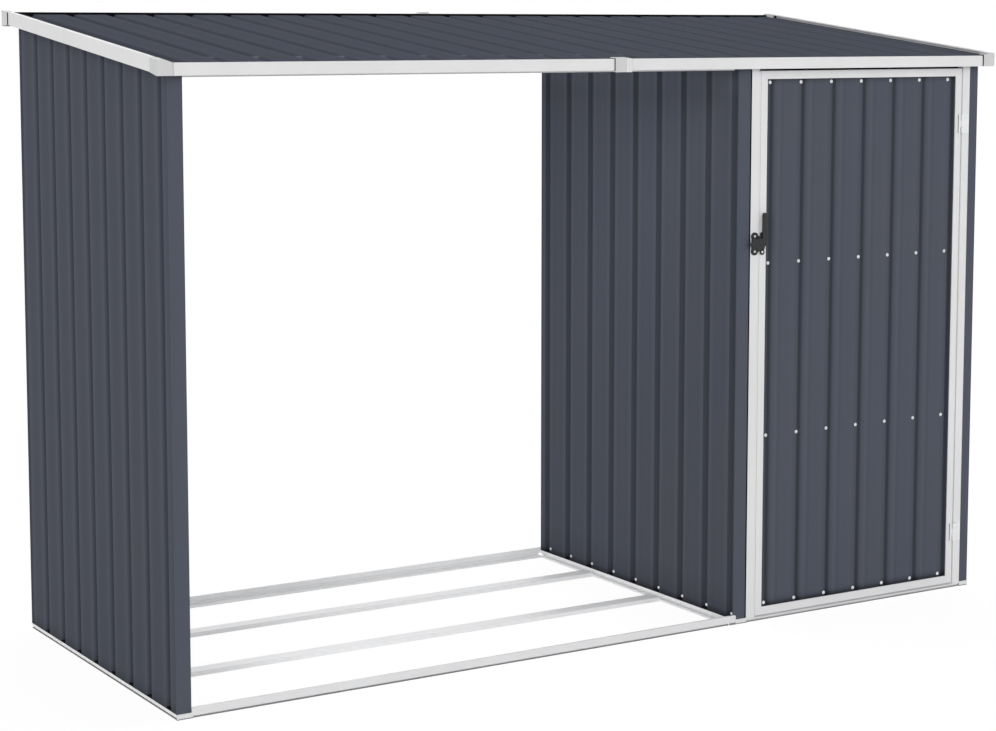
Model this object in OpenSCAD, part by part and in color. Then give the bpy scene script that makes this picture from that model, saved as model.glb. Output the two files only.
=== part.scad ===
// Log store with a closed tool locker at one end, under one sloping roof.
// Front at -Y, bay at the left, locker at the right, floor at z = 0. Sizes in mm.

/* [Overall] */
// Width across the roof caps
roof_w = 2450; // [2200:10:2900]
// Depth across the roof caps
roof_d = 980; // [860:10:1200]
// Height of the roof sheet at the front edge
front_h = 1468; // [1350:1:1650]
// Rise of the roof sheet from front to back
roof_rise = 112; // [70:1:160]
// Roof overhang past each end wall
over_x = 34.5; // [28:0.5:50]
// Roof overhang past the front and the back
over_y = 26; // [26:0.5:40]
// Width of the locker between its outer wall faces
locker_w = 816; // [720:1:950]

/* [Sheet] */
// Thickness of the corrugated sheet
sheet_t = 2.5; // [1.5:0.1:3.5]
// Depth of the grooves in the sheet
groove_d = 8; // [5:0.5:10]
// Distance between grooves in walls and roof
groove_pitch = 109.5; // [90:0.5:130]
// Width of a groove at its mouth
groove_mouth = 27; // [22:0.5:34]
// Width of a groove at its floor
groove_floor = 13; // [8:0.5:18]
// First groove of a side wall, from its front edge
wall_first = 42.3; // [30:0.1:60]
// First groove of the partition, from its front edge
part_first = 15.4; // [15:0.1:60]
// First groove of the back wall, from its right edge
back_first = 48; // [30:0.5:60]

/* [Base] */
// Width of a wall rail
rail_w = 30; // [25:0.5:40]
// Height of the ledge that a wall stands on
ledge_h = 13; // [11:0.5:18]
// Height of the set-back toe under every outer rail
toe_h = 5.5; // [3:0.5:7]
// Set-back of the toe
toe_in = 4; // [2:0.5:6]
// Thickness of bent rails and posts
bent_t = 2.5; // [2:0.1:3.5]
// Height of the rail web behind a wall sheet
web_h = 27; // [20:0.5:40]
// Height of the rail across the bay front
bay_front_h = 25; // [20:0.5:32]
// Height of the rail across the bay back
bay_back_h = 22; // [18:0.5:30]
// Lap of a bay rail's lip over the partition post
end_lap = 6; // [2:0.5:12]
// Corner radius at the end of a bay rail's lip
end_r = 4; // [2:0.5:6]
// Depth of the ground flange of the bay rails
flange_w = 34; // [25:0.5:45]
// Depth of a floor rail in the bay
mid_w = 40; // [30:0.5:50]
// Height of a floor rail in the bay
mid_h = 11; // [8:0.5:14]
// Front face of the first floor rail
mid_y1 = 299; // [250:1:330]
// Front face of the second floor rail
mid_y2 = 624; // [560:1:660]
// Width of the flange beside the locker
side_flange = 20; // [14:0.5:28]
// Height of the flange beside the locker
side_flange_h = 5.5; // [4:0.5:8]
// Gap between the bay rail end and the locker
bay_end_gap = 14; // [8:0.5:18]

/* [Posts and headers] */
// Front leg of the left corner posts
post_leg = 36; // [28:0.5:44]
// Front leg of the posts beside the bay
part_leg = 36.5; // [32:0.5:44]
// Front leg of the right corner posts
right_leg = 29; // [22:0.5:36]
// Side leg of every post
side_leg = 37; // [30:0.5:44]
// Depth of the headers and the sloping top rails
header_d = 20; // [15:0.5:26]
// Height of the sloping top rails
top_rail_h = 22; // [16:0.5:28]
// Lower edge of the bay header, below the front trim
header_drop = 3.5; // [2:0.5:6]

/* [Roof trims] */
// Thickness of trims and caps
trim_t = 3; // [2:0.1:3.5]
// Height of the front and back trims
trim_h = 29; // [24:0.5:36]
// Front trim above the roof sheet
trim_up = 2; // [1:0.5:4]
// Back trim below the roof sheet
back_drop = 2; // [0:0.5:4]
// Foot of the front and back trims, turned in under the roof
trim_foot = 12; // [8:0.5:18]
// Height of the side trims
side_trim_h = 33; // [28:0.5:40]
// Side trims above the roof sheet
side_up = 9.5; // [7:0.5:14]
// Lip of the side trims over the sheet
side_lip = 12; // [8:0.5:18]
// Face of a trim behind the face of a cap
trim_in = 2.5; // [1:0.1:3]
// Gap between the end of a trim and a cap
trim_end = 2; // [1:0.1:3]
// Width of a corner cap along each edge
cap_w = 38; // [32:0.5:46]
// Corner cap above the roof sheet
cap_up = 8.5; // [5:0.5:10]
// Width of a trim connector
splice_w = 49; // [40:0.5:60]
// Trim connector beyond the trim edges
splice_lip = 4; // [2:0.5:5]
// Flap of a trim connector along the top of the trim
splice_flap = 14; // [8:0.5:20]
// Share of a cap or connector at full height before its top tapers
taper_at = 0.5; // [0.3:0.05:0.7]

/* [Door] */
// Gap between the door leaf and its frame
door_gap = 5; // [5:0.1:7]
// Gap between the post and the latch jamb
jamb_gap = 4.5; // [2:0.5:8]
// Width of a jamb
jamb_w = 24.5; // [20:0.5:30]
// Depth of the jambs and the leaf
leaf_d = 22; // [20:0.5:28]
// Height of the locker sill
sill_h = 9; // [8:0.5:12]
// Visible width of a door stile
stile_w = 21; // [18:0.5:26]
// Visible height of the door top rail
door_top_h = 21; // [18:0.5:26]
// Visible height of the door bottom rail
door_bottom_h = 21; // [18:0.5:26]
// Distance between grooves in the door panel
door_pitch = 103.3; // [90:0.1:115]
// First groove centre past the latch stile
door_first = 22; // [14:0.1:30]
// Height of the inner door rails
inner_rail_h = 30; // [20:0.5:40]
// Centre of the lower inner door rail
inner_z1 = 490; // [420:1:560]
// Centre of the upper inner door rail below the top of the leaf
inner_top = 494.5; // [400:0.5:560]

/* [Hinges] */
// Height of a hinge
hinge_h = 50; // [44:0.5:60]
// Centre of the lower hinge
hinge_z1 = 157; // [120:1:220]
// Centre of the upper hinge below the top of the leaf
hinge_top = 149.5; // [110:0.5:220]
// Radius of a hinge knuckle
knuckle_r = 4.5; // [4:0.1:4.7]
// Radius of a hinge pin
pin_r = 2; // [1.5:0.1:2.4]
// Play between pin and knuckle
pin_play = 0.4; // [0.3:0.05:0.6]
// Hinge line in front of the door face
hinge_out = 5; // [5:0.1:6]
// Thickness of a hinge plate
plate_t = 2.2; // [1.5:0.1:2.4]
// Width of the hinge plate on the door
plate_w = 6.5; // [5:0.5:12]
// Width of the hinge plate on the jamb
frame_plate_w = 19; // [12:0.5:20]
// Play between knuckles
knuckle_play = 0.8; // [0.5:0.1:1.5]

/* [Latch] */
// Centre height of the latch
latch_z = 993; // [930:1:1050]
// Height of the latch plates
latch_h = 59; // [48:1:70]
// Thickness of the latch plates
latch_t = 3; // [2.5:0.5:3.5]
// Radius of the rounded ends of the keeper
keeper_r = 10.5; // [8:0.5:11.5]
// Radius of the rounded ends of the latch base
base_r = 7; // [6:0.5:8]
// Waist of the latch plates as a share of their ends
latch_waist = 0.85; // [0.6:0.05:1]
// Radius of the latch boss
boss_r = 6.5; // [6:0.5:7.5]
// Front of the latch boss, from the door face
boss_out = 4; // [3.5:0.5:6]
// Gap between the boss and the lever
lever_gap = 5; // [5:0.1:6]
// Thickness of the lever
lever_t = 4.5; // [3.5:0.5:6]
// Width of the lever
lever_w = 13; // [10:0.5:14]
// Reach of the lever above the latch centre
lever_up = 80; // [60:1:95]
// Height of the lever tongue
tongue_h = 28; // [18:0.5:30]
// Corner radius of the lever tongue
tongue_r = 4; // [2:0.5:6]
// Height of the tip of the lever tongue
tip_h = 8; // [5:0.5:12]
// Reach of the tip of the lever tongue
tip_w = 9; // [5:0.5:12]
// Radius of the lever spindle
spindle_r = 4; // [3:0.1:5]

/* [Hidden] */
$fn = 48;
eps = 0.01;
// Reach of a cutting block past what it cuts
far = 1000;
// Surplus length of a shape that is cut back
over = 200;
// Hinge plates' distance from the hinge line, and how far a knuckle's strap laps a plate
plate_gap = 5.5;
plate_lap = 1.5;
// Pin ends inside the outer knuckles
pin_short = 1;
// Reach of the tongue past the left edge of the jamb
tongue_in = 4;
// Wall of the lever's hub round its spindle
hub_wall = 2;
// Distance of the latch base from the door's edge
base_in = 0.5;
// Drop of the back headers' lower edges below the sloping rails
back_header_drop = 4;
base_w = roof_w - 2 * over_x;
base_d = roof_d - 2 * over_y;
slope = atan(roof_rise / roof_d);
sheet_z = sheet_t + groove_d;
// Inner face of a wall's side leg, from the outer wall face
leg_in = sheet_z + bent_t;
part_x = base_w - locker_w;
// Height of the roof sheet at a depth measured from the base front
function roof_at(y) = front_h + (y + over_y) * tan(slope);
trim_y = -over_y + trim_in;
trim_x = -over_x + trim_in;
sheet_x = trim_x + trim_t;
sheet_y = trim_y + trim_t;
trim_top = front_h + trim_up;
trim_low = trim_top - trim_h;
back_face = base_d - trim_y;
back_top = roof_at(back_face) - back_drop;
back_low = back_top - trim_h;
mid_x = base_w / 2;
bay_x2 = part_x - bay_end_gap;
jamb_x1 = part_x + part_leg + jamb_gap;
leaf_x1 = jamb_x1 + jamb_w + door_gap;

jamb_x4 = base_w - right_leg;
jamb_x3 = jamb_x4 - jamb_w;
leaf_x2 = jamb_x3 - door_gap;
leaf_z1 = sill_h + door_gap;
leaf_z2 = trim_low - door_gap - 0.5;
hinge_z2 = leaf_z2 - hinge_top;
inner_z2 = leaf_z2 - inner_top;
axis_x = jamb_x3 - door_gap / 2;
latch_x = leaf_x1 + base_r + base_in;
lever_y = -boss_out - lever_gap;

steel_dark = [0.30, 0.32, 0.36];
steel_light = [0.82, 0.82, 0.83];
cap_grey = [0.74, 0.74, 0.75];
latch_black = [0.15, 0.15, 0.16];

// Places everything with the middle of the base at the origin
module placed() {
    translate([-base_w / 2, -base_d / 2, 0]) children();
}

// Tilts a shape into the plane of the roof sheet, its y running up the slope
module on_roof() {
    translate([0, -over_y, front_h]) rotate([slope, 0, 0]) children();
}

// Everything above the underside of the roof sheet
module above_roof() {
    on_roof() translate([-far / 2, -far / 2, -sheet_z]) cube([base_w + far, roof_d + far, far]);
}

// Outer line of a grooved sheet, from 0 to len, grooves going down
function groove_line(len, first, pitch) = concat(
    [[0, 0]],
    [for (c = [first : pitch : len - groove_floor / 2 - 4])
        each c + groove_mouth / 2 < len - 2
            ? [[c - groove_mouth / 2, 0], [c - groove_floor / 2, -groove_d],
               [c + groove_floor / 2, -groove_d], [c + groove_mouth / 2, 0]]
            : [[c - groove_mouth / 2, 0], [c - groove_floor / 2, -groove_d]]],
    [[len, last_c(len, first, pitch) + groove_mouth / 2 < len - 2 ? 0 : -groove_d]]);
function last_c(len, first, pitch) = first + pitch * floor((len - groove_floor / 2 - 4 - first) / pitch);

module sheet_section(len, first, pitch) {
    top = groove_line(len, first, pitch);
    n = len(top);
    polygon(concat(top, [for (i = [n - 1 : -1 : 0]) [top[i][0], top[i][1] - sheet_t]]));
}

// A wall sheet standing along +x, outer face at y = 0 and grooves going to +y
module standing_sheet(len, first, pitch, z1, z2) {
    translate([0, 0, z1]) linear_extrude(z2 - z1) mirror([0, 1]) sheet_section(len, first, pitch);
}

// Foot and ledge of a rail under a wall, outer face at 0
module wall_rail_section() {
    polygon([[toe_in, 0], [rail_w, 0], [rail_w, bent_t], [leg_in, bent_t], [leg_in, ledge_h],
        [0, ledge_h], [0, toe_h], [toe_in, toe_h]]);
}

// Web of a rail, behind the wall sheet
module wall_web_section() {
    translate([sheet_z, ledge_h - bent_t]) square([bent_t, web_h + bent_t]);
}

// A side rail from front to back, its web between the posts' front and back legs
module side_rail() {
    along_y(0, base_d) wall_rail_section();
    along_y(bent_t, base_d - bent_t) wall_web_section();
}

// A bent rail with an upright face, a set-back toe and a ground flange
module bay_rail_section(h) {
    polygon([[toe_in, 0], [flange_w, 0], [flange_w, bent_t], [toe_in + bent_t, bent_t],
        [toe_in + bent_t, toe_h + bent_t], [bent_t, toe_h + bent_t], [bent_t, h], [0, h],
        [0, toe_h], [toe_in, toe_h]]);
}

// Runs a y-z section along x
module along_x(x1, x2) {
    translate([x1, 0, 0]) rotate([90, 0, 90]) linear_extrude(x2 - x1) children();
}

// Runs an x-z section along y
module along_y(y1, y2) {
    translate([0, y2, 0]) rotate([90, 0, 0]) linear_extrude(y2 - y1) children();
}

module left_rail() color(steel_light) placed()
    side_rail();

module right_rail() color(steel_light) placed()
    translate([base_w, 0, 0]) mirror([1, 0, 0]) side_rail();

module partition_rail() color(steel_light) placed()
    translate([part_x, 0, 0]) side_rail();

module locker_back_rail() color(steel_light) placed()
    translate([0, base_d, 0]) mirror([0, 1, 0]) along_x(part_x + rail_w, base_w - rail_w) {
        wall_rail_section();
        wall_web_section();
    }

module locker_sill() color(steel_light) placed()
    along_x(part_x + rail_w, base_w - rail_w)
        polygon([[toe_in, 0], [rail_w, 0], [rail_w, bent_t], [leaf_d, bent_t], [leaf_d, sill_h],
            [0, sill_h], [0, toe_h], [toe_in, toe_h]]);

// A bay rail that passes under the left post and stands up beside it
module bay_rail(h) {
    difference() {
        along_x(rail_w, bay_x2) bay_rail_section(h);
        translate([rail_w - 1, -1, ledge_h]) cube([post_leg - rail_w + 1, bent_t + 2, h]);
    }
    bay_rail_lip(h);
}

// Outer lip of a bay rail, with a rounded end in front of the partition post
module bay_rail_lip(h) {
    translate([post_leg, 0, toe_h]) rotate([90, 0, 0]) linear_extrude(bent_t)
        rounded(part_x + end_lap - post_leg, h - toe_h, end_r);
    translate([post_leg + end_r, -bent_t / 2, toe_h + end_r])
        cube([bay_x2 - post_leg - 2 * end_r, bent_t, h - toe_h - 2 * end_r]);
}

module bay_front_rail() color(steel_light) placed()
    bay_rail(bay_front_h);

module bay_back_rail() color(steel_light) placed()
    translate([0, base_d, 0]) mirror([0, 1, 0]) bay_rail(bay_back_h);

module floor_rail_section() {
    difference() {
        square([mid_w, mid_h]);
        translate([bent_t, -eps]) square([mid_w - 2 * bent_t, mid_h - bent_t + eps]);
    }
}

module bay_floor_rails() color(steel_light) placed()
    for (y = [mid_y1, mid_y2])
        translate([0, y, 0]) along_x(rail_w, part_x - side_flange) floor_rail_section();

module bay_side_rail() color(steel_light) placed()
    difference() {
        translate([part_x - side_flange, flange_w, 0])
            cube([side_flange, base_d - 2 * flange_w, side_flange_h]);
        translate([part_x - side_flange + bent_t, flange_w - eps, -eps])
            cube([side_flange - 2 * bent_t, base_d - 2 * flange_w + 2 * eps, side_flange_h - bent_t + eps]);
    }

// A side wall seen from its own outside, running along +y behind the front post leg
module side_wall(first) {
    difference() {
        translate([0, bent_t, 0]) mirror([1, 0, 0]) rotate([0, 0, 90])
            standing_sheet(base_d - 2 * bent_t, first, groove_pitch, ledge_h, front_h + roof_rise);
        above_roof();
    }
}

module left_wall() color(steel_dark) placed() side_wall(wall_first);

module partition_wall() color(steel_dark) placed() translate([part_x, 0, 0]) side_wall(part_first);

module right_wall() color(steel_dark) placed()
    translate([base_w, 0, 0]) mirror([1, 0, 0]) side_wall(wall_first);

module back_wall() color(steel_dark) placed()
    difference() {
        translate([base_w - right_leg, base_d, 0]) rotate([0, 0, 180])
            standing_sheet(base_w - right_leg - part_x - part_leg, back_first, groove_pitch, ledge_h,
                front_h + roof_rise);
        above_roof();
    }

// Front post of a wall whose outer face is x = 0
module front_post(leg) {
    translate([0, 0, ledge_h]) linear_extrude(front_h + roof_rise - ledge_h)
        polygon([[0, 0], [leg, 0], [leg, bent_t], [leg_in, bent_t], [leg_in, bent_t + side_leg],
            [sheet_z, bent_t + side_leg], [sheet_z, bent_t], [0, bent_t]]);
}

// Front and back posts of one wall, cut under the roof
module wall_posts(front_leg, back_leg) {
    difference() {
        union() {
            front_post(front_leg);
            translate([0, base_d, 0]) mirror([0, 1, 0]) front_post(back_leg);
        }
        above_roof();
        for (y = [0, base_d]) wall_web_gap(y);
    }
}

// Room for the rail web where a post's side leg would meet it
module wall_web_gap(y) {
    translate([sheet_z - eps, y == 0 ? bent_t - eps : base_d - bent_t - side_leg - eps, ledge_h - eps])
        cube([bent_t + 2 * eps, side_leg + 2 * eps, web_h + eps]);
}

module left_posts() color(steel_dark) placed() wall_posts(post_leg, post_leg);

module partition_posts() color(steel_dark) placed()
    translate([part_x, 0, 0]) wall_posts(part_leg, part_leg);

module right_posts() color(steel_dark) placed()
    translate([base_w, 0, 0]) mirror([1, 0, 0]) wall_posts(right_leg, right_leg);

// A jamb, open towards the inside of the locker
module jamb() {
    translate([0, 0, sill_h]) linear_extrude(trim_low - sill_h)
        difference() {
            square([jamb_w, leaf_d]);
            translate([bent_t, bent_t]) square([jamb_w - 2 * bent_t, leaf_d]);
        }
}

module door_jambs() color(steel_light) placed() {
    translate([jamb_x1, 0, 0]) jamb();
    translate([jamb_x3, 0, 0]) jamb();
}

// A header under the roof sheet, along x
module header(x1, x2, y1, z1) {
    difference() {
        translate([x1, y1, z1]) cube([x2 - x1, header_d, over]);
        above_roof();
        translate([x1 - 1, y1 + bent_t, z1 - 1])
            cube([x2 - x1 + 2, header_d - 2 * bent_t, top_rail_h - 2 * bent_t]);
    }
}

module bay_header() color(steel_light) placed()
    header(leg_in, bay_x2, bent_t, trim_low - header_drop);

module locker_header() color(steel_light) placed()
    difference() {
        translate([part_x + leg_in, bent_t, trim_low]) cube([locker_w - 2 * leg_in, header_d, over]);
        above_roof();
    }

module bay_back_header() color(steel_light) placed()
    header(leg_in, part_x, base_d - bent_t - header_d,
        roof_at(base_d) - sheet_z - top_rail_h - back_header_drop);

module locker_back_header() color(steel_light) placed()
    header(part_x + leg_in, base_w - leg_in, base_d - sheet_z - header_d,
        roof_at(base_d) - sheet_z - top_rail_h - back_header_drop);

// A sloping rail along the top of a wall, between the headers
module top_rail(x, y2) {
    intersection() {
        on_roof() translate([x, 0, -sheet_z - top_rail_h]) cube([header_d, roof_d + over, top_rail_h]);
        translate([x - 1, bent_t + header_d, 0])
            cube([header_d + 2, y2 - bent_t - header_d, front_h + roof_rise + over]);
    }
}

module top_rails() color(steel_light) placed() {
    top_rail(leg_in, base_d - bent_t - header_d);
    top_rail(part_x + leg_in, base_d - sheet_z - header_d);
    top_rail(base_w - leg_in - header_d, base_d - sheet_z - header_d);
}

// One half of the roof, cut upright at the trims
module roof_sheet(x1, x2) {
    n = floor((x2 - x1 - groove_mouth - 20) / groove_pitch);
    first = (x2 - x1 - n * groove_pitch) / 2;
    intersection() {
        on_roof() translate([x1, roof_d + over, 0]) rotate([90, 0, 0]) linear_extrude(roof_d + 2 * over)
            sheet_section(x2 - x1, first, groove_pitch);
        translate([x1 - 1, sheet_y, front_h - over])
            cube([x2 - x1 + 2, base_d - 2 * sheet_y, roof_rise + 2 * over]);
    }
}

module roof_sheet_left() color(steel_dark) placed() roof_sheet(sheet_x, mid_x);

module roof_sheet_right() color(steel_dark) placed() roof_sheet(mid_x, base_w - sheet_x);

// A trim along the front, with a foot turned in under the roof
module front_trim_section() {
    polygon([[trim_y, trim_low], [trim_y + trim_foot, trim_low], [trim_y + trim_foot, trim_low + trim_t],
        [sheet_y, trim_low + trim_t], [sheet_y, trim_top], [trim_y, trim_top]]);
}

module front_trims() color(steel_light) placed() {
    along_x(cap_w - over_x + trim_end, mid_x - 1) front_trim_section();
    along_x(mid_x + 1, base_w + over_x - cap_w - trim_end) front_trim_section();
}

module back_trim_section() {
    polygon([[back_face, back_low], [back_face - trim_foot, back_low],
        [back_face - trim_foot, back_low + trim_t],
        [back_face - trim_t, back_low + trim_t], [back_face - trim_t, back_top],
        [back_face, back_top]]);
}

module back_trims() color(steel_light) placed() {
    along_x(cap_w - over_x + trim_end, mid_x - 1) back_trim_section();
    along_x(mid_x + 1, base_w + over_x - cap_w - trim_end) back_trim_section();
}

// A side trim, with a lip over the sheet and a foot turned in
module side_trim() {
    intersection() {
        on_roof() translate([trim_x, roof_d + over, side_up - side_trim_h]) rotate([90, 0, 0])
            linear_extrude(roof_d + 2 * over)
                polygon([[0, 0], [side_lip, 0], [side_lip, trim_t], [trim_t, trim_t],
                    [trim_t, side_trim_h - trim_t], [side_lip, side_trim_h - trim_t],
                    [side_lip, side_trim_h], [0, side_trim_h]]);
        translate([trim_x - 1, cap_w - over_y + trim_end, front_h - over])
            cube([side_lip + 2, roof_d - 2 * cap_w - 2 * trim_end, roof_rise + 2 * over]);
    }
}

module side_trims() color(steel_light) placed() {
    side_trim();
    translate([base_w, 0, 0]) mirror([1, 0, 0]) side_trim();
}

// Outline of a cap or connector face: full height, then a top that tapers to the trim
module cap_face(w, low, full, tapered) {
    polygon([[0, low], [w, low], [w, tapered], [w * taper_at, full], [0, full]]);
}

// A cap's side skirt and the pad that sits on the sheet, between two depths
module cap_skirt(y1, y2, low1, low2) {
    along_x(-over_x, -over_x + trim_t)
        polygon([[y1, low1], [y2, low2], [y2, roof_at(y2) + cap_up], [y1, roof_at(y1) + cap_up]]);
    along_x(-over_x, -over_x + cap_w * taper_at)
        polygon([[y1, roof_at(y1)], [y2, roof_at(y2)], [y2, roof_at(y2) + cap_up],
            [y1, roof_at(y1) + cap_up]]);
}

// A corner cap at the front left, open below and inside
module front_cap() {
    y2 = cap_w - over_y;
    cap_skirt(-over_y, y2, trim_low, roof_at(y2) + side_up - side_trim_h);
    translate([-over_x, trim_t - over_y, 0]) rotate([90, 0, 0]) linear_extrude(trim_t)
        cap_face(cap_w, trim_low, front_h + cap_up, trim_top);
}

// A corner cap at the back left
module back_cap() {
    y1 = base_d + over_y - cap_w;
    y2 = base_d + over_y;
    cap_skirt(y1, y2, roof_at(y1) + side_up - side_trim_h, back_low);
    translate([-over_x, y2, 0]) rotate([90, 0, 0]) linear_extrude(trim_t)
        cap_face(cap_w, back_low, roof_at(y2 - trim_t) + cap_up, back_top);
}

module corner_caps() color(cap_grey) placed() {
    front_cap();
    back_cap();
    translate([base_w, 0, 0]) mirror([1, 0, 0]) front_cap();
    translate([base_w, 0, 0]) mirror([1, 0, 0]) back_cap();
}

// A connector face with a flap along the top of the trim, from its left edge
module connector(low, high) {
    rotate([90, 0, 0]) linear_extrude(trim_in) {
        cap_face(splice_w, low - splice_lip, high + splice_lip, high);
        translate([-splice_flap, high + splice_lip / 2]) square([splice_flap + 1, splice_lip / 2]);
    }
}

module trim_connectors() color(cap_grey) placed() {
    translate([mid_x - splice_w / 2, trim_y, 0]) connector(trim_low, trim_top);
    translate([mid_x - splice_w / 2, base_d + over_y, 0]) connector(back_low, back_top);
}

// A channel with its open side towards +x, face at y = 0
module channel(w) {
    difference() {
        square([w, leaf_d]);
        translate([bent_t, bent_t]) square([w, leaf_d - 2 * bent_t]);
    }
}

module door_stiles() color(steel_light) placed() {
    translate([leaf_x1, 0, leaf_z1]) linear_extrude(leaf_z2 - leaf_z1) channel(stile_w);
    translate([leaf_x2, 0, leaf_z1]) mirror([1, 0, 0]) linear_extrude(leaf_z2 - leaf_z1) channel(stile_w);
}

// A channel section standing in y-z, open side up
module rail_channel(h) {
    difference() {
        square([leaf_d, h]);
        translate([bent_t, bent_t]) square([leaf_d - 2 * bent_t, h]);
    }
}

module door_rails() color(steel_light) placed() {
    translate([0, 0, leaf_z1]) along_x(leaf_x1 + stile_w, leaf_x2 - stile_w) rail_channel(door_bottom_h);
    translate([0, 0, leaf_z2]) mirror([0, 0, 1])
        along_x(leaf_x1 + stile_w, leaf_x2 - stile_w) rail_channel(door_top_h);
}

module door_inner_rails() color(steel_light) placed()
    for (z = [inner_z1, inner_z2])
        translate([leaf_x1 + bent_t, bent_t + sheet_z, z - inner_rail_h / 2])
            cube([leaf_x2 - leaf_x1 - 2 * bent_t, leaf_d - 2 * bent_t - sheet_z, inner_rail_h]);

module door_panel() color(steel_dark) placed()
    translate([leaf_x1 + bent_t, bent_t, 0])
        standing_sheet(leaf_x2 - leaf_x1 - 2 * bent_t, stile_w - bent_t + door_first, door_pitch,
            leaf_z1 + bent_t, leaf_z2 - bent_t);

// Hinge height zones: two outer knuckles on the frame and one between them on the door
knuckle_mid = hinge_h * 0.4;
knuckle_end = (hinge_h - knuckle_mid) / 2 - knuckle_play;

module hinge_frame_leaf() {
    for (s = [0, 1]) mirror([0, 0, s]) {
        translate([axis_x, -hinge_out, knuckle_mid / 2 + knuckle_play])
            cylinder(r = knuckle_r, h = knuckle_end);
        translate([axis_x, -plate_t, knuckle_mid / 2 + knuckle_play])
            cube([plate_gap + plate_lap, plate_t, knuckle_end]);
    }
    translate([axis_x, -hinge_out, -hinge_h / 2 + pin_short])
        cylinder(r = pin_r, h = hinge_h - 2 * pin_short);
    translate([axis_x + plate_gap, -plate_t, -hinge_h / 2]) cube([frame_plate_w, plate_t, hinge_h]);
}

module hinge_frame_leaves() color(steel_light) placed()
    for (z = [hinge_z1, hinge_z2]) translate([0, 0, z]) hinge_frame_leaf();

module hinge_door_leaf() {
    difference() {
        union() {
            translate([axis_x, -hinge_out, -knuckle_mid / 2]) cylinder(r = knuckle_r, h = knuckle_mid);
            translate([axis_x - plate_gap - plate_lap, -plate_t, -knuckle_mid / 2])
                cube([plate_gap + plate_lap, plate_t, knuckle_mid]);
            translate([axis_x - plate_gap - plate_w, -plate_t, -hinge_h / 2])
                cube([plate_w, plate_t, hinge_h]);
        }
        translate([axis_x, -hinge_out, -hinge_h]) cylinder(r = pin_r + pin_play, h = 2 * hinge_h);
    }
}

module hinge_door_leaves() color(steel_light) placed()
    for (z = [hinge_z1, hinge_z2]) translate([0, 0, z]) hinge_door_leaf();

// A latch plate with two rounded ends and a waist, lying on the face y = 0
module latch_plate(r) {
    rotate([90, 0, 0]) linear_extrude(latch_t) {
        translate([-r * latch_waist, r - latch_h / 2]) square([2 * r * latch_waist, latch_h - 2 * r]);
        for (s = [-1, 1]) translate([0, s * (latch_h / 2 - r)]) circle(r);
    }
}

module latch_keeper() color(latch_black) placed()
    translate([jamb_x1 + jamb_w / 2, 0, latch_z]) latch_plate(keeper_r);

module latch_base() color(latch_black) placed()
    translate([latch_x, 0, latch_z]) difference() {
        union() {
            latch_plate(base_r);
            rotate([90, 0, 0]) cylinder(r = boss_r, h = boss_out);
        }
        rotate([90, 0, 0]) translate([0, 0, 1]) cylinder(r = spindle_r + pin_play, h = boss_out);
    }

// Rounded rectangle from its lower left corner
module rounded(w, h, r) {
    translate([r, 0]) square([w - 2 * r, h]);
    translate([0, r]) square([w, h - 2 * r]);
    for (x = [r, w - r], y = [r, h - r]) translate([x, y]) circle(r);
}

// Upright arm of the lever, the tongue across the gap and its tip
module lever_outline() {
    tongue_w = latch_x - jamb_x1 + tongue_in;
    translate([-lever_w / 2, 0]) square([lever_w, lever_up - lever_w / 2]);
    translate([0, lever_up - lever_w / 2]) circle(lever_w / 2);
    circle(max(lever_w / 2, spindle_r + hub_wall));
    translate([-tongue_w, -tongue_h / 2]) rounded(tongue_w, tongue_h, tongue_r);
    translate([-tongue_w - tip_w, -tip_h / 2]) square([2 * tip_w, tip_h]);
}

module latch_lever() color(latch_black) placed()
    translate([latch_x, 0, latch_z]) {
        translate([0, lever_y, 0]) rotate([90, 0, 0]) linear_extrude(lever_t) lever_outline();
        rotate([90, 0, 0]) translate([0, 0, 2]) cylinder(r = spindle_r, h = -lever_y - 2 + 1);
    }

left_rail();
bay_front_rail();
bay_floor_rails();
bay_back_rail();
bay_side_rail();
partition_rail();
right_rail();
locker_back_rail();
locker_sill();
left_wall();
partition_wall();
right_wall();
back_wall();
left_posts();
partition_posts();
right_posts();
door_jambs();
bay_header();
locker_header();
bay_back_header();
locker_back_header();
top_rails();
roof_sheet_left();
roof_sheet_right();
front_trims();
back_trims();
side_trims();
corner_caps();
trim_connectors();
door_stiles();
door_rails();
door_inner_rails();
door_panel();
hinge_frame_leaves();
hinge_door_leaves();
latch_keeper();
latch_base();
latch_lever();
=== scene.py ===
# Log store with a tool locker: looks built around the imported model
import math
import bmesh
import bpy
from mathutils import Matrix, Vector


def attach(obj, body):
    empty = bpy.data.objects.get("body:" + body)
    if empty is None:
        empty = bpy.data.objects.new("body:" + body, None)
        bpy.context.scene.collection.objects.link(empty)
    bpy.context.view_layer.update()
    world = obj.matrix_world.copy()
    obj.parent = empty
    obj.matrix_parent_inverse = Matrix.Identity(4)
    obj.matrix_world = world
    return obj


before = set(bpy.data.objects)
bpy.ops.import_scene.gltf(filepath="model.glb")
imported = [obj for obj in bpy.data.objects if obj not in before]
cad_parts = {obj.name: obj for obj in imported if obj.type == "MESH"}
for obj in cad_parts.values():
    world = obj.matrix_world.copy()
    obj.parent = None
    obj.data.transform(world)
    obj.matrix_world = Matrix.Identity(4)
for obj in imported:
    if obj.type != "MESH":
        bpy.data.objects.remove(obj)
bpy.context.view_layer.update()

scene = bpy.context.scene
scene.view_settings.view_transform = "Standard"

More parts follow.
